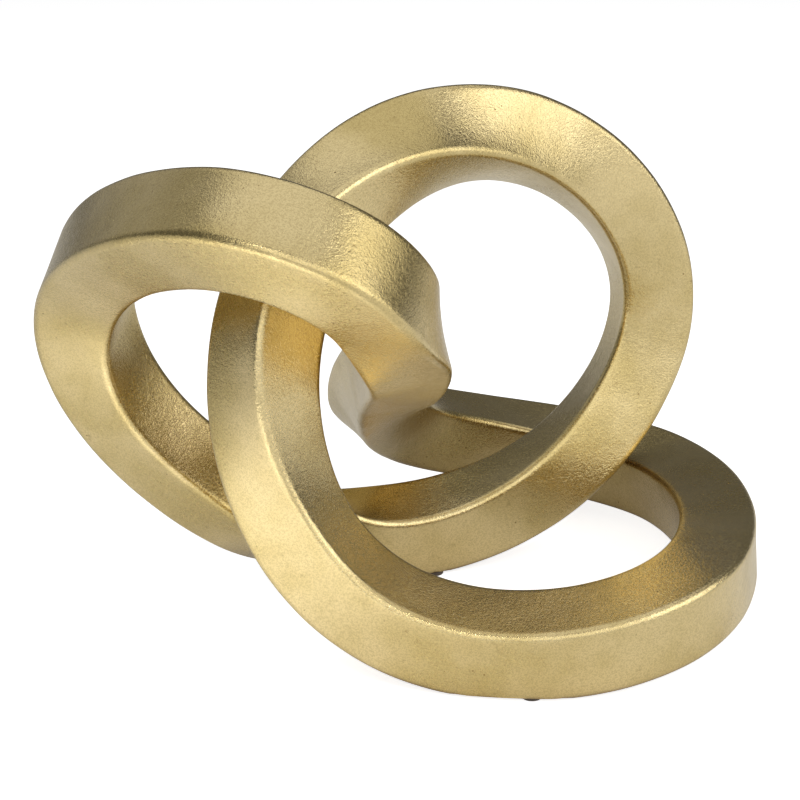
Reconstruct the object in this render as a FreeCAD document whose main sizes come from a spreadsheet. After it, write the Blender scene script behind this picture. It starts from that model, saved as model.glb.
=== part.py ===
import FreeCAD, Part
import Sketcher
import math
import os

# A closed knot of square brass bar that stands on a desk. The bar passes through three loops
# (left, right and top) and turns a quarter about its own line in one round, so each side runs on
# into the next one. Three cast lengths are pinned end to end and welded all round.
# +Z is up and the viewer stands at -Y. The origin is under the middle of the knot, on the desk.

V = FreeCAD.Vector

# Driving sizes in millimetres: the word they are known by, the value and what it is.
SIZES = [
    ("bar_side", 20.0, "side of the square bar"),
    ("strand_gap", 1.0, "clearance between two strands that pass each other"),
    ("edge_radius", 1.8, "rounding of the bar's long edges"),
    ("grind_depth", 1.5, "how far the lowest edges are ground flat"),
    ("weld_depth", 3.0, "depth and half width of the weld groove at a joint"),
    ("groove_overrun", 1.0, "how far the groove's cutter stands out of the bar"),
    ("dowel_diameter", 6.0, "centre dowel in a joint"),
    ("dowel_length", 26.0, "length of the centre dowel"),
    ("dowel_chamfer", 0.7, "chamfer at the dowel's ends"),
    ("key_diameter", 3.0, "pin that keeps a joint from turning"),
    ("key_length", 18.0, "length of the key pin"),
    ("key_chamfer", 0.4, "chamfer at the key pin's ends"),
    ("drill_clearance", 0.2, "how much wider a hole is than its pin"),
    ("drill_end_gap", 0.5, "space past each end of a pin"),
    ("pad_diameter", 5.0, "felt pad under a ground flat"),
    ("pad_thickness", 1.0, "thickness of the felt pad"),
]

# Stations on the middle line of the bar, six to a loop: x, y and z as shares of the strand pitch,
# which is one bar and the gap to the next, then the roll of the bar's front side in degrees.
STATION_SHARES = [
    (-3.7, -0.7, 4.3, -115),
    (-1.8, -3.0, 5.5, -125),
    (-0.5, -3.1, 5.0, -150),
    (-0.1, -2.1, 4.1, -220),
    (-0.2, -0.7, 3.3, -235),
    (0.1, 2.8, 1.4, -295),
    (3.3, 2.6, 0.8, -295),
    (3.2, -1.6, 0.8, -320),
    (0.6, -2.2, 0.6, -325),
    (-1.2, -1.7, 1.7, -330),
    (-1.5, -1.4, 4.3, -365),
    (0.1, 0.1, 5.8, -320),
    (2.2, 1.6, 5.2, -275),
    (3.2, 2.3, 3.2, -245),
    (1.8, 1.6, 1.1, -260),
    (-0.5, 0.8, 0.6, -275),
    (-1.8, 0.2, 1.1, -235),
    (-3.4, -0.1, 2.6, -225),
]
# The point that every roll is measured from, as shares of the strand pitch.
HUB_SHARES = (1.0, 1.0, 4.0)
# Turn of the bar about its own line in one round, in degrees.
ROUND_TURN = -90

# Each length of bar: its name and the stations where it starts and ends.
LENGTHS = [
    ("right_loop", 4.0, 9.5),
    ("top_loop", 9.5, 16.7),
    ("left_loop", 16.7, 22.0),
]
# Each joint: its name, its station and the lengths that meet there.
JOINTS = [
    ("left_to_right", 4.0, "left_loop", "right_loop"),
    ("right_to_top", 9.5, "right_loop", "top_loop"),
    ("top_to_left", 16.7, "top_loop", "left_loop"),
]
# Each pad: its name, its station and how far it sits from the middle line to the bar's lowest edge.
PAD_SHARES = [
    ("front_pad", 7.72, 0.55),
    ("rear_right_pad", 14.66, 0.63),
    ("rear_left_pad", 15.0, 0.6),
]
SECTIONS_PER_STATION = 3
SAMPLES_PER_STATION = 40
# Side of the bench that grinds the flats, in strand pitches.
BENCH_SHARE = 12

doc = FreeCAD.newDocument("knot_sculpture")


def make_sheet():
    """The sheet of driving sizes, one row each: the word, the value and a note."""
    sheet = doc.addObject("Spreadsheet::Sheet", "Sizes")
    for row, (word, value, note) in enumerate(SIZES, start=1):
        sheet.set(f"A{row}", word)
        sheet.set(f"B{row}", str(value))
        sheet.set(f"C{row}", note)
        sheet.setAlias(f"B{row}", word)
    doc.recompute()
    return sheet


sizes = make_sheet()
strand_pitch = sizes.bar_side + sizes.strand_gap


def closed_curve(points, parameters):
    """A smooth closed curve through the points."""
    curve = Part.BSplineCurve()
    curve.interpolate(Points=points, Parameters=parameters, PeriodicFlag=True)
    return curve


def station_parameters(points):
    """The curve's parameter at each station, and at the first one again: the square roots of the chords."""
    parameters = [0.0]
    for start, end in zip(points, points[1:] + points[:1]):
        parameters.append(parameters[-1] + math.sqrt(start.distanceToPoint(end)))
    return parameters


class BarLine:
    """The bar's middle line with the roll of its sides along it."""

    def __init__(self):
        places = [V(x, y, z) * strand_pitch for x, y, z, _ in STATION_SHARES]
        self.parameters = station_parameters(places)
        self.round = self.parameters[-1]
        self.middle = closed_curve(places, self.parameters)
        self.hub = V(*HUB_SHARES) * strand_pitch
        self.rolls = closed_curve(self.roll_points(), self.parameters)
        self.shift = V(0, 0, 0)
        self.shift = self.middle_of_the_foot()

    def roll_points(self):
        """The rolls less the steady turn of the round, as heights over a circle, so that they close."""
        points = []
        for parameter, station in zip(self.parameters, STATION_SHARES):
            angle = 2 * math.pi * parameter / self.round
            steady = ROUND_TURN * parameter / self.round
            points.append(V(math.cos(angle), math.sin(angle), math.radians(station[3] - steady)))
        return points

    def frame(self, station):
        """The point, the line's direction and the front and outer directions of the bar at a station."""
        rounds, place = divmod(station, len(STATION_SHARES))
        before = int(place)
        step = self.parameters[before + 1] - self.parameters[before]
        parameter = self.parameters[before] + (place - before) * step
        point = self.middle.value(parameter)
        along = V(*self.middle.tangent(parameter)[0]).normalize()
        inward = self.hub - point
        inward = (inward - along * inward.dot(along)).normalize()
        across = along.cross(inward)
        steady = math.radians(ROUND_TURN) * (parameter / self.round + rounds)
        roll = self.rolls.value(parameter).z + steady
        front = inward * math.cos(roll) + across * math.sin(roll)
        return point + self.shift, along, front, front.cross(along)

    def reach(self, station, way):
        """How far the bar reaches in a direction at a station."""
        point, _, front, outer = self.frame(station)
        flat = sizes.bar_side / 2 - sizes.edge_radius
        a = front.dot(way)
        b = outer.dot(way)
        return point.dot(way) + flat * (abs(a) + abs(b)) + sizes.edge_radius * math.hypot(a, b)

    def middle_of_the_foot(self):
        """The move that brings the knot's middle over the origin and its ground flats onto the pads."""
        count = len(STATION_SHARES) * SAMPLES_PER_STATION
        stations = [i / SAMPLES_PER_STATION for i in range(count)]
        ends = []
        for way in (V(1, 0, 0), V(0, 1, 0)):
            high = max(self.reach(station, way) for station in stations)
            low = -max(self.reach(station, way * -1) for station in stations)
            ends.append((high + low) / 2)
        low = -max(self.reach(station, V(0, 0, -1)) for station in stations)
        return V(-ends[0], -ends[1], sizes.pad_thickness - sizes.grind_depth - low)


bar_line = BarLine()


def rounded_square(frame, side, radius, along_offset=0.0):
    """A square outline with round corners, square to the bar at a frame."""
    point, along, front, outer = frame
    centre = point + along * along_offset
    half = side / 2
    flat = half - radius
    bulge = flat + radius * math.sqrt(0.5)

    def place(a, b):
        return centre + front * a + outer * b

    edges = []
    for _ in range(4):
        front, outer = outer, front * -1
        edges.append(Part.LineSegment(place(half, -flat), place(half, flat)))
        edges.append(Part.Arc(place(half, flat), place(bulge, bulge), place(flat, half)))
    return Part.Wire([edge.toShape() for edge in edges])


def bar_length(name, start, end):
    """One length of the bar, lofted through its sections from joint to joint."""
    count = round((end - start) * SECTIONS_PER_STATION)
    wires = []
    for i in range(count + 1):
        frame = bar_line.frame(start + (end - start) * i / count)
        wires.append(rounded_square(frame, sizes.bar_side, sizes.edge_radius))
    blank = doc.addObject("Part::Feature", name + "_blank")
    blank.Shape = Part.makeLoft(wires, True)
    return blank


def joint_placement(frame, across=0.0, along_offset=0.0):
    """A placement whose Z runs along the bar and X to its front side, moved across towards a corner."""
    point, along, front, outer = frame
    turn = FreeCAD.Rotation(front, outer * -1, along, "ZXY")
    place = FreeCAD.Placement(V(across, across, along_offset), FreeCAD.Rotation())
    return FreeCAD.Placement(point, turn).multiply(place)


def groove_cutter(name, frame):
    """The ring of metal that the weld groove takes away: a block less the two bevelled bar ends."""
    half_width = sizes.weld_depth + sizes.groove_overrun
    wide = sizes.bar_side + 2 * sizes.groove_overrun
    narrow = sizes.bar_side - 2 * sizes.weld_depth
    ends = []
    for side, offset in ((wide, -half_width), (narrow, 0.0), (wide, half_width)):
        ends.append(rounded_square(frame, side, sizes.edge_radius * side / sizes.bar_side, offset))
    bevels = doc.addObject("Part::Feature", name + "_bevels")
    bevels.Shape = Part.makeLoft(ends, True, True)
    block = doc.addObject("Part::Box", name + "_block")
    for edge in ("Length", "Width"):
        block.setExpression(edge, "Sizes.bar_side + 4 * Sizes.groove_overrun")
    block.setExpression("Height", "2 * (Sizes.weld_depth + Sizes.groove_overrun)")
    corner = -sizes.bar_side / 2 - 2 * sizes.groove_overrun
    block.Placement = joint_placement(frame, corner, -half_width)
    cutter = doc.addObject("Part::Cut", name + "_groove")
    cutter.Base = block
    cutter.Tool = bevels
    return cutter


def key_offset():
    """How far the key pin lies from the dowel in both cross directions: midway to the weld's root."""
    at_dowel = (sizes.dowel_diameter + sizes.key_diameter) / 2 * math.sqrt(0.5)
    at_weld = (sizes.bar_side - sizes.key_diameter) / 2 - sizes.weld_depth
    return (at_dowel + at_weld) / 2


def drill(name, frame, pin, offset):
    """The hole for a dowel or key pin, through the joint."""
    hole = doc.addObject("Part::Cylinder", name)
    hole.setExpression("Radius", f"(Sizes.{pin}_diameter + Sizes.drill_clearance) / 2")
    hole.setExpression("Height", f"Sizes.{pin}_length + 2 * Sizes.drill_end_gap")
    depth = sizes.get(f"{pin}_length") + 2 * sizes.drill_end_gap
    hole.Placement = joint_placement(frame, offset, -depth / 2)
    return hole


def pin_body(name, frame, pin, offset):
    """A round pin with chamfered ends, lying across the joint."""
    body = doc.addObject("PartDesign::Body", name)
    sketch = body.newObject("Sketcher::SketchObject", name + "_outline")
    plane = [item for item in body.Origin.OriginFeatures if item.Role == "XY_Plane"][0]
    sketch.AttachmentSupport = (plane, "")
    sketch.MapMode = "FlatFace"
    circle = sketch.addGeometry(Part.Circle(V(0, 0, 0), V(0, 0, 1), sizes.get(f"{pin}_diameter") / 2))
    sketch.addConstraint(Sketcher.Constraint("Coincident", circle, 3, -1, 1))
    size = sketch.addConstraint(Sketcher.Constraint("Diameter", circle, sizes.get(f"{pin}_diameter")))
    sketch.setExpression(f"Constraints[{size}]", f"Sizes.{pin}_diameter")
    pad = body.newObject("PartDesign::Pad", name + "_length")
    pad.Profile = sketch
    pad.setExpression("Length", f"Sizes.{pin}_length")
    doc.recompute()
    chamfer = body.newObject("PartDesign::Chamfer", name + "_ends")
    rims = [f"Edge{i + 1}" for i, edge in enumerate(pad.Shape.Edges) if edge.isClosed()]
    chamfer.Base = (pad, rims)
    chamfer.setExpression("Size", f"Sizes.{pin}_chamfer")
    body.Placement = joint_placement(frame, offset, -sizes.get(f"{pin}_length") / 2)
    return body


def weld_ring(name, cutter, blanks):
    """The weld all round a joint, dressed flush with the bar."""
    halves = []
    for blank in blanks:
        half = doc.addObject("Part::Common", f"{name}_on_{blank.Name}")
        half.Base = cutter
        half.Tool = blank
        halves.append(half)
    ring = doc.addObject("Part::MultiFuse", name)
    ring.Shapes = halves
    ring.Refine = True
    return ring


def bench():
    """The block under the pads' top, which grinds the lowest edges flat."""
    block = doc.addObject("Part::Box", "bench")
    side = BENCH_SHARE * strand_pitch
    for edge in ("Length", "Width"):
        block.setExpression(edge, f"{BENCH_SHARE} * (Sizes.bar_side + Sizes.strand_gap)")
    block.setExpression("Height", "Sizes.grind_depth + Sizes.bar_side")
    base = V(-side / 2, -side / 2, sizes.pad_thickness - sizes.grind_depth - sizes.bar_side)
    block.Placement = FreeCAD.Placement(base, FreeCAD.Rotation())
    return block


def finished_length(name, blank, cutters):
    """A length of bar with its grooves, pin holes and ground flat cut."""
    tools = doc.addObject("Part::MultiFuse", name + "_cuts")
    tools.Shapes = cutters
    part = doc.addObject("Part::Cut", name)
    part.Base = blank
    part.Tool = tools
    return part


def felt_pad(name, station, edge_share):
    """A round felt pad under a ground flat."""
    point, _, front, outer = bar_line.frame(station)
    half = sizes.bar_side / 2
    to_edge = front * -math.copysign(half, front.z) + outer * -math.copysign(half, outer.z)
    place = point + to_edge * edge_share
    pad = doc.addObject("Part::Cylinder", name)
    pad.setExpression("Radius", "Sizes.pad_diameter / 2")
    pad.setExpression("Height", "Sizes.pad_thickness")
    pad.Placement = FreeCAD.Placement(V(place.x, place.y, 0), FreeCAD.Rotation())
    return pad


def build():
    """Every piece of the knot, as a list of document objects."""
    blanks = {name: bar_length(name, start, end) for name, start, end in LENGTHS}
    cutters = {name: [] for name in blanks}
    pieces = []
    for name, station, first, second in JOINTS:
        frame = bar_line.frame(station)
        groove = groove_cutter(name, frame)
        pieces.append(weld_ring("weld_" + name, groove, [blanks[first], blanks[second]]))
        holes = [drill(name + "_dowel_hole", frame, "dowel", 0.0)]
        holes.append(drill(name + "_key_hole", frame, "key", key_offset()))
        pieces.append(pin_body("dowel_" + name, frame, "dowel", 0.0))
        pieces.append(pin_body("key_pin_" + name, frame, "key", key_offset()))
        for length in (first, second):
            cutters[length] += [groove] + holes
    ground = bench()
    for name, blank in blanks.items():
        pieces.append(finished_length(name, blank, cutters[name] + [ground]))
    for name, station, edge_share in PAD_SHARES:
        pieces.append(felt_pad(name, station, edge_share))
    return pieces


def write(pieces):
    """Checks every object and writes each piece to a file of its own name."""
    doc.recompute()
    for item in doc.Objects:
        if "Invalid" in item.State or "Error" in item.State:
            raise RuntimeError(f"{item.Name}: {item.State}")
    os.makedirs("parts", exist_ok=True)
    for piece in pieces:
        piece.Label = piece.Name
        shape = piece.Shape
        if shape.isNull() or not shape.isValid() or len(shape.Solids) != 1:
            raise RuntimeError(f"{piece.Name}: {len(shape.Solids)} solids")
        print(f"{piece.Name}: volume {shape.Volume:.0f} mm3")
        shape.exportStep(f"parts/{piece.Label}.step")


write(build())
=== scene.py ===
import logging
import math
from dataclasses import dataclass
from enum import Enum
from typing import Any, Iterable

import bmesh
import bpy
import numpy as np
from mathutils import Matrix, Vector


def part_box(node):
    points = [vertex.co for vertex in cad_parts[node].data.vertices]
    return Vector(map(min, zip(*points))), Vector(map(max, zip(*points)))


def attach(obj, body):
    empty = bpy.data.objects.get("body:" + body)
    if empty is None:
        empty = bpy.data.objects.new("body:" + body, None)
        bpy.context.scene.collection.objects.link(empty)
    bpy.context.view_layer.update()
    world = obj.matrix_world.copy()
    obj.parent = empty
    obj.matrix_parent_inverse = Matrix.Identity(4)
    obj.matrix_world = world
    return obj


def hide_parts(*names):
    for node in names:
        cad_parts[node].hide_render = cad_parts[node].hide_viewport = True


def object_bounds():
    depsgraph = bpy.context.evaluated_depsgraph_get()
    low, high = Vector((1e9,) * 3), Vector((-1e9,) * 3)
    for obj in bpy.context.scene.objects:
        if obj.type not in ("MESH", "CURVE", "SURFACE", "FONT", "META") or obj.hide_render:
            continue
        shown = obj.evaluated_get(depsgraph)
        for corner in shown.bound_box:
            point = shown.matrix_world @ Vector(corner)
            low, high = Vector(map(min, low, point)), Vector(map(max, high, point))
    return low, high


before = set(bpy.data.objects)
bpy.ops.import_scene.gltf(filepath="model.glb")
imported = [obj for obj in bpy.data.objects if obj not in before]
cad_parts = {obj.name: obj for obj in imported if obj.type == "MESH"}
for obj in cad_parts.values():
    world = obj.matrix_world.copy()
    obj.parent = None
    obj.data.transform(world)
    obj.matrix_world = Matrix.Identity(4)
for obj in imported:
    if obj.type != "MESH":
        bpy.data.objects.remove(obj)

# A closed knot of square brass bar, cast in three lengths, welded, dressed and satin finished by
# hand. Sizes below are in millimetres and are turned to metres where a mesh or a node takes them.

CAD_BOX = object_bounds()
log = logging.getLogger("knot")
MM = 0.001
BODY = "root"

# Stations on the middle line of the bar, six to a loop: x, y and z as shares of the strand pitch,
# then the roll of the bar's front side in degrees. They are those of the construction.
STATIONS = np.array([
    (-3.7, -0.7, 4.3, -115), (-1.8, -3.0, 5.5, -125), (-0.5, -3.1, 5.0, -150),
    (-0.1, -2.1, 4.1, -220), (-0.2, -0.7, 3.3, -235), (0.1, 2.8, 1.4, -295),
    (3.3, 2.6, 0.8, -295), (3.2, -1.6, 0.8, -320), (0.6, -2.2, 0.6, -325),
    (-1.2, -1.7, 1.7, -330), (-1.5, -1.4, 4.3, -365), (0.1, 0.1, 5.8, -320),
    (2.2, 1.6, 5.2, -275), (3.2, 2.3, 3.2, -245), (1.8, 1.6, 1.1, -260),
    (-0.5, 0.8, 0.6, -275), (-1.8, 0.2, 1.1, -235), (-3.4, -0.1, 2.6, -225),
])
# The roll is measured from the way to the hub, whose place is in the same shares. After a round it
# comes back a quarter turn on, so each side runs into the next.
HUB = np.array((1.0, 1.0, 4.0))
ROUND_TURN = -90.0
# The cast lengths and the joints between them, by station. Past 18 the next round begins.
LENGTHS = {"right_loop": (4.0, 9.5), "top_loop": (9.5, 16.7), "left_loop": (16.7, 22.0)}
JOINTS = {"left_to_right": 4.0, "right_to_top": 9.5, "top_to_left": 16.7}
PADS = ("front_pad", "rear_right_pad", "rear_left_pad")


def linear(hex_colour: str) -> tuple[float, float, float, float]:
    """Turns an sRGB hex colour to the linear colour that a socket takes.

    Args:
        hex_colour: Six hex digits, with or without a leading hash.

    Returns:
        Red, green, blue and an alpha of one.
    """
    digits = hex_colour.lstrip("#")
    parts = [int(digits[i:i + 2], 16) / 255 for i in (0, 2, 4)]
    red, green, blue = (p / 12.92 if p <= 0.04045 else ((p + 0.055) / 1.055) ** 2.4 for p in parts)
    return red, green, blue, 1.0


def per_metre(size: float) -> float:
    """The texture scale at which a pattern's own size is that many millimetres."""
    return 1 / (size * MM)


def add_node(tree: Any, kind: str, inputs: dict | None = None, **settings: Any) -> Any:
    """Adds a node, with its settings and what goes into its sockets.

    Args:
        tree: The node tree it goes into.
        kind: The node's type.
        inputs: A value, or the socket that feeds it, for each input by name or number.
        **settings: The node's own properties.

    Returns:
        The new node.
    """
    node = tree.nodes.new(kind)
    for name, value in settings.items():
        setattr(node, name, value)
    for key, value in (inputs or {}).items():
        if isinstance(value, bpy.types.NodeSocket):
            tree.links.new(value, node.inputs[key])
        else:
            node.inputs[key].default_value = value
    return node


class BrassSlot(Enum):
    """The record's slots for the bar's brass."""

    LENGTH = "satin_brass"
    WELD = "weld_brass"


class MaterialTree:
    """A new material's nodes, with its surface shader at hand."""

    def __init__(self, name: str) -> None:
        """Makes the material and keeps its shader.

        Args:
            name: The material's name.
        """
        self.material = bpy.data.materials.new(name)
        self.material.use_nodes = True
        self.tree = self.material.node_tree
        self.shader = self.tree.nodes["Principled BSDF"]
        self.place = add_node(self.tree, "ShaderNodeTexCoord").outputs["Object"]

    def add(self, kind: str, inputs: dict | None = None, **settings: Any) -> Any:
        """Adds a node to this material."""
        return add_node(self.tree, kind, inputs, **settings)

    def noise(self, size: float, detail: float = 2.0, seed: float = 0.0, **more: float) -> Any:
        """A noise of a real size.

        Args:
            size: Size of its patches in millimetres.
            detail: Number of finer layers.
            seed: Where in the noise it is taken.
            **more: Other inputs by name.

        Returns:
            The noise value's socket, from 0 to 1.
        """
        inputs = {"Vector": self.place, "W": seed, "Scale": per_metre(size), "Detail": detail}
        inputs |= {name.capitalize(): value for name, value in more.items()}
        return self.add("ShaderNodeTexNoise", inputs, noise_dimensions="4D").outputs["Fac"]

    def between(self, value: Any, low: float, high: float, to_low: float = 0.0, to_high: float = 1.0) -> Any:
        """A value eased from one range to another, and held at its ends.

        Args:
            value: The socket that is read.
            low: Where the ease starts.
            high: Where it ends.
            to_low: The result at the start.
            to_high: The result at the end.

        Returns:
            The result's socket.
        """
        inputs = {0: value, 1: low, 2: high, 3: to_low, 4: to_high}
        return self.add("ShaderNodeMapRange", inputs, interpolation_type="SMOOTHSTEP").outputs["Result"]

    def math(self, operation: str, first: Any, second: Any = 0.0) -> Any:
        """The result of one sum on two values."""
        return self.add("ShaderNodeMath", {0: first, 1: second}, operation=operation).outputs[0]

    def tint(self, mask: Any, under: Any, over: Any) -> Any:
        """One colour laid over another where a mask says.

        Args:
            mask: The mask's socket or share.
            under: The colour or socket below.
            over: The colour or socket above.

        Returns:
            The colour's socket.
        """
        inputs = {0: mask, 6: under, 7: over}
        return self.add("ShaderNodeMix", inputs, data_type="RGBA").outputs[2]

    def scratches(self, heading: tuple[float, float, float], length: float, width: float,
                  spacing: float) -> Any:
        """Fine straight scratches along one heading.

        Args:
            heading: Turn of the pattern about the three axes in degrees.
            length: Length of a scratch in millimetres.
            width: Width of a scratch in millimetres.
            spacing: Mean distance between two of them in millimetres.

        Returns:
            The socket of a mask that is 1 in a scratch.
        """
        turned = self.add("ShaderNodeMapping", {
            "Vector": self.place,
            "Rotation": [math.radians(angle) for angle in heading],
            "Scale": (per_metre(spacing * length / width), per_metre(spacing), per_metre(spacing)),
        })
        cells = self.add("ShaderNodeTexVoronoi", {"Vector": turned.outputs[0], "Scale": 1.0})
        half = width / spacing / 2
        return self.between(cells.outputs["Distance"], half, half * 0.4)

    def relief(self, height: Any, depth: float, under: Any = None) -> Any:
        """A bump of a real height.

        Args:
            height: The socket with the height from 0 to 1.
            depth: What 1 stands for, in millimetres.
            under: The normal that it is laid over.

        Returns:
            The normal's socket.
        """
        inputs = {"Height": height, "Distance": depth * MM, "Strength": 1.0}
        if under is not None:
            inputs["Normal"] = under
        return self.add("ShaderNodeBump", inputs).outputs["Normal"]


@dataclass(frozen=True)
class SatinBrass:
    """Cast yellow brass, filed and rubbed to a satin by hand.

    The eye sees pale gold with a crawling fine grain, which sparkles where a highlight ends, and
    olive where it mirrors a dark room. Sizes and depths are in millimetres.
    """

    name: str = "cast_brass_hand_satin"
    gold: str = "#E3CF9A"
    olive: str = "#CEB97E"
    # Brown of the grain, stains, pits and scratches, and also of the painted shade in the recesses.
    patina_and_shade: str = "#7A5A2A"
    roughness: float = 0.21
    cloud: float = 26.0
    stain: float = 2.6
    stain_share: float = 0.35
    # The real grain is finer and shallower. It is drawn as coarse and as deep as it needs to show.
    grain: float = 0.8
    grain_depth: float = 0.11
    fine_depth_share: float = 0.4
    fine_tint: float = 0.22
    wave: float = 7.0
    wave_depth: float = 0.10
    # Length, width and spacing of the hairlines. Real ones are near 0.03 wide. They are drawn
    # wider, so that they show.
    long_scratch: tuple[float, float, float] = (9.0, 0.12, 1.6)
    short_scratch: tuple[float, float, float] = (7.0, 0.1, 1.8)
    scratch_patch: float = 14.0
    scratch_tint: float = 0.3
    pit_spacing: float = 3.0
    pit_patch: float = 12.0
    pit_tint: float = 0.8
    mark_depth: float = 0.02
    # Reach and strength of the painted shade that ambient occlusion lays in the recesses.
    recess_shade_reach: float = 30.0
    recess_shade_tint: float = 0.8

    def material(self) -> Any:
        """Builds the finish.

        Returns:
            The material.
        """
        m = MaterialTree(self.name)
        patina_and_shade = linear(self.patina_and_shade)
        cloud = m.noise(self.cloud, detail=3, seed=1.5)
        grain = m.noise(self.grain, detail=3, seed=4.0, distortion=1.2)
        fine = m.noise(self.grain / 2, detail=2, seed=17.0, distortion=0.8)
        colour = m.tint(m.between(cloud, 0.38, 0.66), linear(self.gold), linear(self.olive))
        colour = m.tint(m.math("MULTIPLY", m.between(fine, 0.56, 0.4), self.fine_tint), colour, patina_and_shade)
        stain = m.between(m.noise(self.stain, detail=4, seed=8.0), 0.62, 0.8)
        colour = m.tint(m.math("MULTIPLY", stain, self.stain_share), colour, patina_and_shade)
        marks, pits = self._scratches(m), self._pits(m)
        colour = m.tint(m.math("MULTIPLY", pits, self.pit_tint), colour, patina_and_shade)
        colour = m.tint(m.math("MULTIPLY", marks, self.scratch_tint), colour, patina_and_shade)
        # Walls that face each other are darkened towards the brown by ambient occlusion, which is painted
        # shade in the recesses.
        open_air = m.add("ShaderNodeAmbientOcclusion", {"Distance": self.recess_shade_reach * MM}, samples=8)
        painted_recess_shade = m.math("MULTIPLY", m.between(open_air.outputs["AO"], 0.5, 0.15), self.recess_shade_tint)
        m.tree.links.new(m.tint(painted_recess_shade, colour, patina_and_shade), m.shader.inputs["Base Color"])
        m.shader.inputs["Metallic"].default_value = 1.0
        rough = m.between(cloud, 0.3, 0.7, self.roughness - 0.03, self.roughness + 0.05)
        rough = m.math("ADD", rough, m.between(grain, 0.35, 0.65, -0.03, 0.04))
        m.tree.links.new(rough, m.shader.inputs["Roughness"])
        normal = m.relief(m.noise(self.wave, detail=1, seed=30.0), self.wave_depth)
        normal = m.relief(grain, self.grain_depth, normal)
        normal = m.relief(fine, self.grain_depth * self.fine_depth_share, normal)
        normal = m.relief(m.math("MAXIMUM", marks, pits), -self.mark_depth, normal)
        m.tree.links.new(normal, m.shader.inputs["Normal"])
        return m.material

    def _scratches(self, m: MaterialTree) -> Any:
        """The mask of the hairlines, which cross at four headings and come in patches."""
        marks = m.scratches((0, 0, 20), *self.long_scratch)
        for heading in ((20, 50, -35), (75, -20, 60), (-40, 10, 110)):
            marks = m.math("MAXIMUM", marks, m.scratches(heading, *self.short_scratch))
        patches = m.between(m.noise(self.scratch_patch, detail=2, seed=12.0), 0.45, 0.6)
        return m.math("MULTIPLY", marks, patches)

    def _pits(self, m: MaterialTree) -> Any:
        """The mask of the casting's small pits, which come in patches."""
        cells = m.add("ShaderNodeTexVoronoi", {"Vector": m.place, "Scale": per_metre(self.pit_spacing)})
        patches = m.between(m.noise(self.pit_patch, seed=21.0), 0.52, 0.62)
        return m.math("MULTIPLY", m.between(cells.outputs["Distance"], 0.1, 0.05), patches)


@dataclass(frozen=True)
class DrawnBrass:
    """Drawn brass rod for the dowels: a brighter yellow with a fine grain."""

    name: str = "drawn_brass_rod"
    colour: str = "#D9B96C"
    dull: str = "#B8964B"
    roughness: float = 0.28
    # A real rod has fine lines from its die. They are drawn as a plain grain, coarse enough to show.
    streak: float = 0.8
    streak_depth: float = 0.01

    def material(self) -> Any:
        """Builds the finish.

        Returns:
            The material.
        """
        m = MaterialTree(self.name)
        streak = m.noise(self.streak, detail=2, seed=2.0)
        colour = m.tint(m.between(streak, 0.4, 0.7), linear(self.colour), linear(self.dull))
        m.tree.links.new(colour, m.shader.inputs["Base Color"])
        m.shader.inputs["Metallic"].default_value = 1.0
        rough = m.between(streak, 0.3, 0.7, self.roughness, self.roughness + 0.1)
        m.tree.links.new(rough, m.shader.inputs["Roughness"])
        m.tree.links.new(m.relief(streak, self.streak_depth), m.shader.inputs["Normal"])
        return m.material


@dataclass(frozen=True)
class GroundSteel:
    """Ground silver steel for the key pins: cool grey with a fine grain."""

    name: str = "ground_silver_steel"
    colour: str = "#B9BABD"
    dull: str = "#96979B"
    roughness: float = 0.24
    # The wheel's grain is finer. It is drawn as coarse as it needs to show.
    grain: float = 0.4
    grain_depth: float = 0.006

    def material(self) -> Any:
        """Builds the finish.

        Returns:
            The material.
        """
        m = MaterialTree(self.name)
        grain = m.noise(self.grain, detail=1, seed=3.0)
        colour = m.tint(m.between(grain, 0.35, 0.7), linear(self.colour), linear(self.dull))
        m.tree.links.new(colour, m.shader.inputs["Base Color"])
        m.shader.inputs["Metallic"].default_value = 1.0
        rough = m.between(grain, 0.3, 0.7, self.roughness, self.roughness + 0.08)
        m.tree.links.new(rough, m.shader.inputs["Roughness"])
        m.tree.links.new(m.relief(grain, self.grain_depth), m.shader.inputs["Normal"])
        return m.material


@dataclass(frozen=True)
class WoolFelt:
    """Pressed wool felt under the foot: dull dark brown with matted fibres and a soft edge."""

    name: str = "pressed_wool_felt"
    dark: str = "#3B322A"
    light: str = "#5A4E42"
    # Wool is near 0.03 thick. It is drawn as matted tufts, coarse enough to show.
    fibre: float = 0.35
    fibre_depth: float = 0.15
    roughness: float = 0.95
    sheen: float = 0.4
    sheen_roughness: float = 0.6

    def material(self) -> Any:
        """Builds the finish.

        Returns:
            The material.
        """
        m = MaterialTree(self.name)
        fibres = m.noise(self.fibre, detail=5, seed=5.0, distortion=2.0)
        colour = m.tint(m.between(fibres, 0.35, 0.65), linear(self.dark), linear(self.light))
        m.tree.links.new(colour, m.shader.inputs["Base Color"])
        m.shader.inputs["Roughness"].default_value = self.roughness
        m.shader.inputs["Sheen Weight"].default_value = self.sheen
        m.shader.inputs["Sheen Roughness"].default_value = self.sheen_roughness
        m.tree.links.new(m.relief(fibres, self.fibre_depth), m.shader.inputs["Normal"])
        return m.material


@dataclass(frozen=True)
class BarSizes:
    """The bar's sizes in millimetres, as in the construction."""

    side: float = 20.0
    gap: float = 1.0
    edge_radius: float = 1.8
    grind: float = 1.5
    weld: float = 3.0
    pad_thickness: float = 1.0


@dataclass
class Path:
    """Sections of the bar in order: places and directions in metres, and each one's share of the side."""

    middle: np.ndarray
    front: np.ndarray
    outer: np.ndarray
    share: np.ndarray


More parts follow.
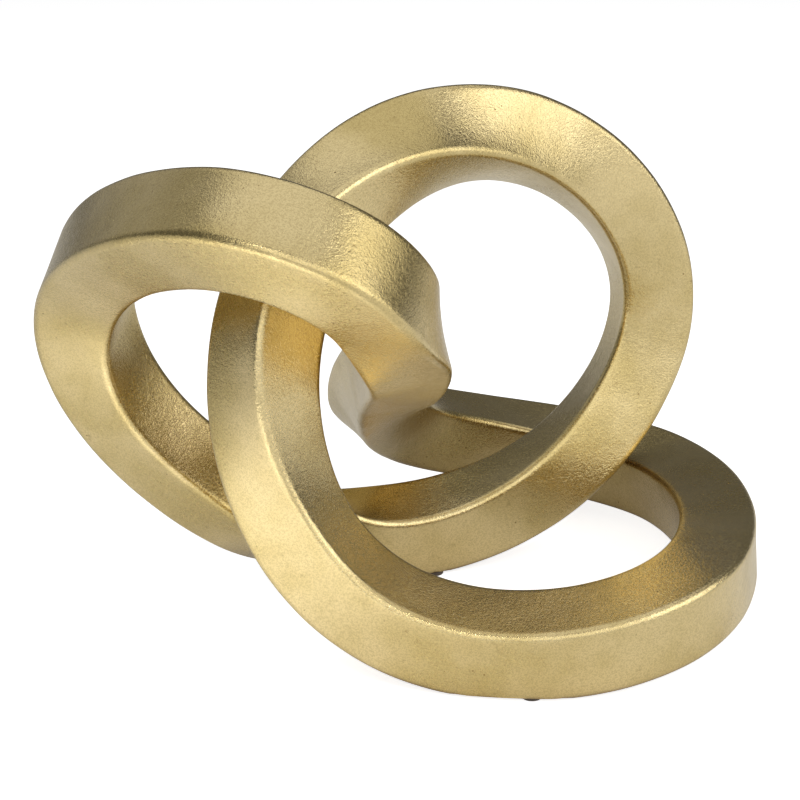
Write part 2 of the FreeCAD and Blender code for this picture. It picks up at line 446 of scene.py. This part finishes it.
class BarLine:
    """The closed middle line of the bar, with the roll of its sides along it."""

    samples = 40

    def __init__(self, sizes: BarSizes) -> None:
        """Fits the line through the stations.

        Args:
            sizes: The bar's sizes.
        """
        self.sizes = sizes
        places = STATIONS[:, :3] * (sizes.side + sizes.gap)
        self.hub = HUB * (sizes.side + sizes.gap)
        chords = np.linalg.norm(np.roll(places, -1, axis=0) - places, axis=1)
        self.knots = np.concatenate([[0.0], np.cumsum(np.sqrt(chords))])
        rolls = STATIONS[:, 3] - ROUND_TURN * self.knots[:-1] / self.knots[-1]
        self.values = np.column_stack([places, np.radians(rolls)])
        self.bends = self._bends()
        self.shift = np.zeros(3)
        self.shift = self._foot()
        stations = np.arange(0, 2 * len(STATIONS) * self.samples + 1) / self.samples
        steps = np.linalg.norm(np.diff(self.at(stations)[0], axis=0), axis=1)
        self.stations = stations
        self.lengths = np.concatenate([[0.0], np.cumsum(steps)])

    def _bends(self) -> np.ndarray:
        """The second derivatives of the closed cubic spline at its knots."""
        count = len(self.values)
        spans = np.diff(self.knots)
        rows = np.zeros((count, count))
        pulls = np.zeros_like(self.values)
        for i in range(count):
            before, after = spans[i - 1], spans[i]
            rows[i, i - 1] += before
            rows[i, i] += 2 * (before + after)
            rows[i, (i + 1) % count] += after
            rise = (self.values[(i + 1) % count] - self.values[i]) / after
            pulls[i] = 6 * (rise - (self.values[i] - self.values[i - 1]) / before)
        return np.linalg.solve(rows, pulls)

    def at(self, stations: np.ndarray) -> tuple[np.ndarray, np.ndarray, np.ndarray, np.ndarray]:
        """The bar's frame at some stations.

        Args:
            stations: Station numbers, which may run past the last one into the next round.

        Returns:
            The places and the along, front and outer directions, one row each, in millimetres.
        """
        count = len(self.values)
        rounds, place = np.divmod(stations, count)
        i = np.minimum(place.astype(int), count - 1)
        j = (i + 1) % count
        span = (self.knots[i + 1] - self.knots[i])[:, None]
        b = (place - i)[:, None]
        a = 1 - b
        value = a * self.values[i] + b * self.values[j]
        value += ((a**3 - a) * self.bends[i] + (b**3 - b) * self.bends[j]) * span**2 / 6
        slope = (self.values[j] - self.values[i]) / span
        slope += ((3 * b**2 - 1) * self.bends[j] - (3 * a**2 - 1) * self.bends[i]) * span / 6
        along = slope[:, :3] / np.linalg.norm(slope[:, :3], axis=1, keepdims=True)
        inward = self.hub - value[:, :3]
        inward -= along * (inward * along).sum(axis=1, keepdims=True)
        inward /= np.linalg.norm(inward, axis=1, keepdims=True)
        across = np.cross(along, inward)
        parameter = self.knots[i][:, None] + b * span
        roll = value[:, 3:] + math.radians(ROUND_TURN) * (parameter / self.knots[-1] + rounds[:, None])
        front = inward * np.cos(roll) + across * np.sin(roll)
        return value[:, :3] + self.shift, along, front, np.cross(front, along)

    def _foot(self) -> np.ndarray:
        """The move that centres the knot on the construction's box, with its flats on the pads."""
        stations = np.arange(len(STATIONS) * self.samples) / self.samples
        point, _, front, outer = self.at(stations)
        flat = self.sizes.side / 2 - self.sizes.edge_radius
        reach = flat * (abs(front) + abs(outer)) + self.sizes.edge_radius * np.hypot(front, outer)
        low, high = (point - reach).min(axis=0), (point + reach).max(axis=0)
        box = np.array(CAD_BOX) / MM
        middle = box.mean(axis=0) - (low + high) / 2
        return np.array([middle[0], middle[1], self.sizes.pad_thickness - self.sizes.grind - low[2]])

    def length_at(self, station: float) -> float:
        """How far along the line a station is, in millimetres."""
        return float(np.interp(station, self.stations, self.lengths))

    def path(self, lengths: Iterable[float], shares: Iterable[float]) -> Path:
        """The bar's sections at some distances along the line.

        Args:
            lengths: The distances in millimetres.
            shares: The share of the bar's side that each section has.

        Returns:
            The path in metres.
        """
        lengths = np.array(list(lengths))
        point, _, front, outer = self.at(np.interp(lengths, self.lengths, self.stations))
        return Path(point * MM, front, outer, np.array(list(shares)))


class BarSweep:
    """The Geometry Nodes tree that sweeps the bar's rounded square along a path."""

    sizes = (("Bar Side", "NodeSocketFloat"), ("Edge Radius", "NodeSocketFloat"),
             ("Outline Points", "NodeSocketInt"), ("Hand Depth", "NodeSocketFloat"),
             ("Hand Size", "NodeSocketFloat"), ("Ground Height", "NodeSocketFloat"),
             ("Seed", "NodeSocketFloat"), ("Finish", "NodeSocketMaterial"))
    edge_steps = 16
    merge_reach = 0.002

    def __init__(self) -> None:
        """Builds the tree."""
        self.tree = bpy.data.node_groups.new("swept_square_bar", "GeometryNodeTree")
        face = self.tree.interface
        face.new_socket("Geometry", in_out="INPUT", socket_type="NodeSocketGeometry")
        self.sockets = {name: face.new_socket(name, in_out="INPUT", socket_type=kind).identifier
                        for name, kind in self.sizes}
        face.new_socket("Geometry", in_out="OUTPUT", socket_type="NodeSocketGeometry")
        self._build()

    def add(self, kind: str, inputs: dict | None = None, **settings: Any) -> Any:
        """Adds a node to the tree."""
        return add_node(self.tree, kind, inputs, **settings)

    def math(self, operation: str, first: Any, second: Any = 0.0) -> Any:
        """The result of one sum on two values."""
        return self.add("ShaderNodeMath", {0: first, 1: second}, operation=operation).outputs[0]

    def vector(self, operation: str, first: Any, second: Any = (0.0, 0.0, 0.0)) -> Any:
        """The result of one sum on two directions or places."""
        return self.add("ShaderNodeVectorMath", {0: first, 1: second}, operation=operation).outputs["Vector"]

    def scaled(self, direction: Any, share: Any) -> Any:
        """A direction times a number."""
        node = self.add("ShaderNodeVectorMath", {0: direction, "Scale": share}, operation="SCALE")
        return node.outputs["Vector"]

    def read(self, geometry: Any, value: Any, index: Any, kind: str = "FLOAT_VECTOR") -> Any:
        """A value at one point of a geometry.

        Args:
            geometry: The geometry's socket.
            value: The socket of what is read.
            index: The point's number.
            kind: The value's type.

        Returns:
            The socket of the value.
        """
        inputs = {"Geometry": geometry, "Value": value, "Index": index}
        return self.add("GeometryNodeSampleIndex", inputs, data_type=kind, domain="POINT").outputs[0]

    def named(self, name: str, kind: str = "FLOAT_VECTOR") -> Any:
        """A stored attribute of the path."""
        return self.add("GeometryNodeInputNamedAttribute", {"Name": name}, data_type=kind).outputs[0]

    def _build(self) -> None:
        """Lays out the nodes: a grid of sections by outline points, each moved to its place."""
        given = self.add("NodeGroupInput").outputs
        path = given["Geometry"]
        outline = self.add("GeometryNodeCurvePrimitiveQuadrilateral",
                           {"Width": given["Bar Side"], "Height": given["Bar Side"]})
        rounded = {"Curve": outline.outputs[0], "Count": self.edge_steps, "Radius": given["Edge Radius"]}
        outline = self.add("GeometryNodeFilletCurve", rounded, mode="POLY")
        even = {"Curve": outline.outputs[0], "Count": given["Outline Points"]}
        outline = self.add("GeometryNodeResampleCurve", even, mode="COUNT").outputs[0]
        sections = self.add("GeometryNodeAttributeDomainSize", {0: path}, component="MESH")
        sections = sections.outputs["Point Count"]
        row = self.math("ADD", given["Outline Points"], 1)
        grid = self.add("GeometryNodeMeshGrid", {"Vertices X": sections, "Vertices Y": row})
        index = self.add("GeometryNodeInputIndex").outputs[0]
        section = self.math("FLOOR", self.math("DIVIDE", self.math("ADD", index, 0.5), row))
        step = self.math("SUBTRACT", index, self.math("MULTIPLY", section, row))
        step = self.math("MODULO", step, given["Outline Points"])
        place = self.add("GeometryNodeInputPosition").outputs[0]
        corner = self.read(outline, place, step)
        across = self.add("ShaderNodeSeparateXYZ", {0: corner}).outputs
        way = self.vector("ADD", self.scaled(self.read(path, self.named("front"), section), across["X"]),
                          self.scaled(self.read(path, self.named("outer"), section), across["Y"]))
        share = self.read(path, self.named("share", "FLOAT"), section, "FLOAT")
        point = self.vector("ADD", self.read(path, place, section), self.scaled(way, share))
        # The hand finish only takes metal away, so the bar stays inside its nominal outline.
        waves = self.add("ShaderNodeTexNoise", {
            "Vector": self.vector("DIVIDE", point, self.add("ShaderNodeCombineXYZ", {
                0: given["Hand Size"], 1: given["Hand Size"], 2: given["Hand Size"]}).outputs[0]),
            "W": given["Seed"], "Scale": 1.0, "Detail": 1.0}, noise_dimensions="4D").outputs["Fac"]
        dent = self.math("MULTIPLY", self.math("MULTIPLY", waves, given["Hand Depth"]), -1.0)
        point = self.vector("ADD", point, self.scaled(self.vector("NORMALIZE", way), dent))
        parts = self.add("ShaderNodeSeparateXYZ", {0: point}).outputs
        height = self.math("MAXIMUM", parts["Z"], given["Ground Height"])
        point = self.add("ShaderNodeCombineXYZ", {0: parts["X"], 1: parts["Y"], 2: height}).outputs[0]
        skin = self.add("GeometryNodeSetPosition", {"Geometry": grid.outputs["Mesh"], "Position": point})
        skin = skin.outputs[0]
        merged = {"Geometry": skin, "Distance": self.merge_reach * MM}
        skin = self.add("GeometryNodeMergeByDistance", merged).outputs[0]
        skin = self.add("GeometryNodeRealizeInstances", {"Geometry": skin}).outputs[0]
        skin = self.add("GeometryNodeSetMaterial", {"Geometry": skin, "Material": given["Finish"]}).outputs[0]
        self.add("NodeGroupOutput", {"Geometry": skin})

    def bake(self, name: str, path: Path, sizes: dict[str, Any]) -> Any:
        """Sweeps the bar along a path and turns the result into a plain mesh.

        Args:
            name: The new object's name.
            path: The sections in order.
            sizes: The tree's inputs by name.

        Returns:
            The finished object.
        """
        count = len(path.middle)
        mesh = bpy.data.meshes.new(name + "_path")
        mesh.from_pydata(path.middle.tolist(), [(i, i + 1) for i in range(count - 1)], [])
        for word, values in (("front", path.front), ("outer", path.outer)):
            mesh.attributes.new(word, "FLOAT_VECTOR", "POINT").data.foreach_set("vector", values.ravel())
        mesh.attributes.new("share", "FLOAT", "POINT").data.foreach_set("value", path.share)
        holder = bpy.data.objects.new(name + "_path", mesh)
        bpy.context.scene.collection.objects.link(holder)
        modifier = holder.modifiers.new("sweep", "NODES")
        modifier.node_group = self.tree
        for word, value in sizes.items():
            modifier[self.sockets[word]] = value
        depsgraph = bpy.context.evaluated_depsgraph_get()
        baked = bpy.data.meshes.new_from_object(holder.evaluated_get(depsgraph))
        bpy.data.objects.remove(holder)
        bpy.data.meshes.remove(mesh)
        piece = bpy.data.objects.new(name, baked)
        bpy.context.scene.collection.objects.link(piece)
        return piece


def point_outwards(mesh: Any, crease: float) -> float:
    """Turns a closed mesh's faces outwards and shades it smooth but for its creases.

    Args:
        mesh: The mesh.
        crease: The angle in degrees from which an edge stays sharp.

    Returns:
        The volume in cubic metres.
    """
    shell = bmesh.new()
    shell.from_mesh(mesh)
    volume = shell.calc_volume(signed=True)
    if volume < 0:
        bmesh.ops.reverse_faces(shell, faces=shell.faces)
    shell.to_mesh(mesh)
    shell.free()
    mesh.shade_smooth()
    mesh.set_sharp_from_angle(angle=math.radians(crease))
    return abs(volume)


@dataclass
class KnotBar:
    """The closed bar: three cast lengths and the three dressed welds between them."""

    sizes: BarSizes = BarSizes()
    finish: SatinBrass = SatinBrass()
    spacing: float = 1.2
    outline_points: int = 128
    hand_depth: float = 0.5
    hand_size: float = 22.0
    hand_seed: float = 3.0
    crease: float = 35.0

    def build(self) -> list[Any]:
        """Builds and dresses the lengths and the welds.

        Returns:
            The pieces.
        """
        self.line = BarLine(self.sizes)
        self.sweep = BarSweep()
        self.material = self.finish.material()
        pieces = [self._length(name, start, end) for name, (start, end) in LENGTHS.items()]
        pieces += [self._weld(name, station) for name, station in JOINTS.items()]
        return pieces

    def _inputs(self) -> dict[str, Any]:
        """The sweep's inputs for this bar."""
        return {"Bar Side": self.sizes.side * MM, "Edge Radius": self.sizes.edge_radius * MM,
                "Outline Points": self.outline_points, "Hand Depth": self.hand_depth * MM,
                "Hand Size": self.hand_size * MM, "Ground Height": self.sizes.pad_thickness * MM,
                "Seed": self.hand_seed, "Finish": self.material}

    def _root_share(self) -> float:
        """The bar's share that is left at the root of a weld groove."""
        return 1 - 2 * self.sizes.weld / self.sizes.side

    def _piece(self, name: str, path: Path) -> Any:
        """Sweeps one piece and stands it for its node.

        Args:
            name: The node's name.
            path: The piece's sections.

        Returns:
            The piece.
        """
        piece = self.sweep.bake(name + "_satin", path, self._inputs())
        volume = point_outwards(piece.data, self.crease)
        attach(piece, BODY)
        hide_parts(name)
        log.info("%s: %d faces, %.1f cm3", name, len(piece.data.polygons), volume * 1e6)
        return piece

    def _length(self, name: str, start: float, end: float) -> Any:
        """One cast length, from weld root to weld root, closed at both ends.

        Args:
            name: The node's name.
            start: The station it starts at.
            end: The station it ends at.

        Returns:
            The piece.
        """
        first, last = self.line.length_at(start), self.line.length_at(end)
        inner, outer = first + self.sizes.weld, last - self.sizes.weld
        count = round((outer - inner) / self.spacing)
        root = self._root_share()
        lengths = [first, first, *np.linspace(inner, outer, count + 1), last, last]
        shares = [0.0, root, *[1.0] * (count + 1), root, 0.0]
        return self._piece(name, self.line.path(lengths, shares))

    def _weld(self, name: str, station: float) -> Any:
        """The weld all round a joint, flush with the bar outside and down to its root inside.

        Args:
            name: The joint's name.
            station: The joint's station.

        Returns:
            The piece.
        """
        middle = self.line.length_at(station)
        count = round(2 * self.sizes.weld / self.spacing)
        root = self._root_share()
        skin = np.linspace(middle - self.sizes.weld, middle + self.sizes.weld, count + 1)
        shares = [root, *[1.0] * (count + 1), root]
        path = self.line.path([middle, *skin, middle], shares)
        return self._piece("weld_" + name, path)


@dataclass
class JointPins:
    """The dowels and key pins inside the joints, which stay the construction's own solids."""

    rod: DrawnBrass = DrawnBrass()
    key: GroundSteel = GroundSteel()

    def dress(self) -> None:
        """Gives each pin its metal."""
        for prefix, finish in (("dowel_", self.rod), ("key_pin_", self.key)):
            material = finish.material()
            for joint in JOINTS:
                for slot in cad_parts[prefix + joint].material_slots:
                    slot.material = material
            log.info("%s pins dressed", prefix)


@dataclass
class FeltFeet:
    """Felt pads under the ground flats, cut with a punch, with a soft rolled rim."""

    finish: WoolFelt = WoolFelt()
    steps: int = 48
    rim: float = 0.3
    rim_steps: int = 6
    merge_reach: float = 0.001

    def build(self) -> list[Any]:
        """Builds the pads.

        Returns:
            The pieces.
        """
        material = self.finish.material()
        return [self._pad(name, material) for name in PADS]

    def _pad(self, name: str, material: Any) -> Any:
        """One round pad in its node's place.

        Args:
            name: The node's name.
            material: The felt.

        Returns:
            The piece.
        """
        low, high = (Vector(corner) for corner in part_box(name))
        middle = (low + high) / 2
        radius, half = (high.x - low.x) / 2, (high.z - low.z) / 2
        rim = self.rim * MM
        outline = [(0.0, -half)]
        for i in range(self.rim_steps + 1):
            angle = math.radians(90 * i / self.rim_steps - 90)
            outline.append((radius - rim + rim * math.cos(angle), -half + rim + rim * math.sin(angle)))
        outline += [(r, -z) for r, z in reversed(outline)]
        felt = bmesh.new()
        corners = [felt.verts.new((r, 0, z)) for r, z in outline]
        edges = [felt.edges.new(pair) for pair in zip(corners, corners[1:])]
        bmesh.ops.spin(felt, geom=corners + edges, cent=(0, 0, 0), axis=(0, 0, 1),
                       angle=math.tau, steps=self.steps, use_merge=True)
        bmesh.ops.remove_doubles(felt, verts=felt.verts, dist=self.merge_reach * MM)
        bmesh.ops.recalc_face_normals(felt, faces=felt.faces)
        bmesh.ops.translate(felt, verts=felt.verts, vec=middle)
        mesh = bpy.data.meshes.new(name + "_felt")
        felt.to_mesh(mesh)
        felt.free()
        mesh.materials.append(material)
        mesh.shade_smooth()
        pad = bpy.data.objects.new(name + "_felt", mesh)
        bpy.context.scene.collection.objects.link(pad)
        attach(pad, BODY)
        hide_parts(name)
        log.info("%s: %d faces", name, len(mesh.polygons))
        return pad


@dataclass(frozen=True)
class SoftLamp:
    """One soft box: where it hangs, where it looks, its size in metres and its power in watts."""

    name: str
    place: tuple[float, float, float]
    size: tuple[float, float]
    power: float
    colour: str = "#FFFFFF"
    spread: float = 180.0
    aim: tuple[float, float, float] = (0.0, 0.0, 0.06)

    def hang(self) -> Any:
        """Makes the lamp.

        Returns:
            Its object.
        """
        data = bpy.data.lights.new(self.name, "AREA")
        data.shape = "RECTANGLE"
        data.size, data.size_y = self.size
        data.energy = self.power
        data.spread = math.radians(self.spread)
        data.color = linear(self.colour)[:3]
        lamp = bpy.data.objects.new(self.name, data)
        lamp.location = self.place
        lamp.rotation_euler = (Vector(self.aim) - Vector(self.place)).to_track_quat("-Z", "Y").to_euler()
        bpy.context.scene.collection.objects.link(lamp)
        return lamp


@dataclass
class Studio:
    """A plain white table, soft boxes, and the camera where the photograph was taken."""

    lamps: tuple[SoftLamp, ...] = (
        SoftLamp("window_behind_camera", (0.15, -1.0, 0.58), (2.3, 1.1), 9.2),
        SoftLamp("overhead", (0.0, 0.05, 1.0), (1.2, 1.1), 3.0),
        SoftLamp("right_box", (0.82, -0.24, 0.50), (0.75, 0.85), 3.3),
        SoftLamp("left_back_wall", (-0.75, 0.6, 0.60), (0.8, 0.8), 0.55),
        SoftLamp("left_pool", (-0.14, -0.26, 0.30), (0.10, 0.10), 0.14, spread=45.0, aim=(-0.11, -0.15, 0.0)),
    )
    room: float = 0.14
    table_colour: str = "#F0F0F0"
    table_roughness: float = 0.9
    table_white: float = 0.8
    table_in_metal: float = 0.12
    floor_half: float = 12.0
    eye: tuple[float, float, float] = (-0.00298, -0.42640, 0.20179)
    aim: tuple[float, float, float] = (-0.00310, -0.00359, 0.05725)
    tilt: float = 0.26
    lens: float = 79.93

    def build(self) -> None:
        """Sets up the floor, the room, the lamps and the camera."""
        self._floor()
        self._room()
        for lamp in self.lamps:
            lamp.hang()
        self._camera()

    def _floor(self) -> None:
        """A large pale table top that the camera sees as white but for the shadow."""
        half = self.floor_half
        mesh = bpy.data.meshes.new("table_top")
        corners = [(-half, -half, 0), (half, -half, 0), (half, half, 0), (-half, half, 0)]
        mesh.from_pydata(corners, [], [(0, 1, 2, 3)])
        floor = bpy.data.objects.new("table_top", mesh)
        bpy.context.scene.collection.objects.link(floor)
        m = MaterialTree("matt_white_table")
        m.shader.inputs["Base Color"].default_value = linear(self.table_colour)
        m.shader.inputs["Roughness"].default_value = self.table_roughness
        rays = m.add("ShaderNodeLightPath").outputs
        # The brass mirrors a duller table than the camera sees, as it would in a darker room.
        mirrored = m.math("MAXIMUM", rays["Is Glossy Ray"], rays["Is Transmission Ray"])
        glow = m.math("MAXIMUM", m.math("MULTIPLY", rays["Is Camera Ray"], self.table_white),
                      m.math("MULTIPLY", mirrored, self.table_in_metal))
        glow = m.add("ShaderNodeEmission", {"Strength": glow})
        both = m.add("ShaderNodeAddShader", {0: m.shader.outputs[0], 1: glow.outputs[0]})
        m.tree.links.new(both.outputs[0], m.tree.nodes["Material Output"].inputs["Surface"])
        mesh.materials.append(m.material)

    def _room(self) -> None:
        """An even grey room round the table, which the camera sees as white past the table's edge."""
        world = bpy.data.worlds.new("studio_room")
        bpy.context.scene.world = world
        world.use_nodes = True
        tree = world.node_tree
        rays = add_node(tree, "ShaderNodeLightPath").outputs
        seen = add_node(tree, "ShaderNodeMath", {0: rays["Is Camera Ray"], 1: rays["Is Transmission Ray"]},
                        operation="MAXIMUM")
        level = add_node(tree, "ShaderNodeMath", {0: seen.outputs[0], 1: self.room}, operation="MAXIMUM")
        tree.links.new(level.outputs[0], tree.nodes["Background"].inputs["Strength"])
        tree.nodes["Background"].inputs["Color"].default_value = (1.0, 1.0, 1.0, 1.0)

    def _camera(self) -> None:
        """The camera, level with the photograph's frame."""
        data = bpy.data.cameras.new("photo_camera")
        data.lens = self.lens
        data.sensor_width = 36.0
        camera = bpy.data.objects.new("photo_camera", data)
        look = (Vector(self.aim) - Vector(self.eye)).normalized()
        turn = Matrix.Rotation(-math.radians(self.tilt), 3, look) @ look.to_track_quat("-Z", "Y").to_matrix()
        camera.matrix_world = Matrix.Translation(self.eye) @ turn.to_4x4()
        bpy.context.scene.collection.objects.link(camera)
        bpy.context.scene.camera = camera


def main() -> None:
    """Builds and dresses the knot, then the studio."""
    logging.basicConfig(level=logging.INFO, format="%(message)s")
    pieces = KnotBar().build()
    JointPins().dress()
    pieces += FeltFeet().build()
    Studio().build()
    bpy.context.scene.view_settings.view_transform = "Standard"
    log.info("%d pieces stand for nodes", len(pieces))


if __name__ == "__main__":
    main()
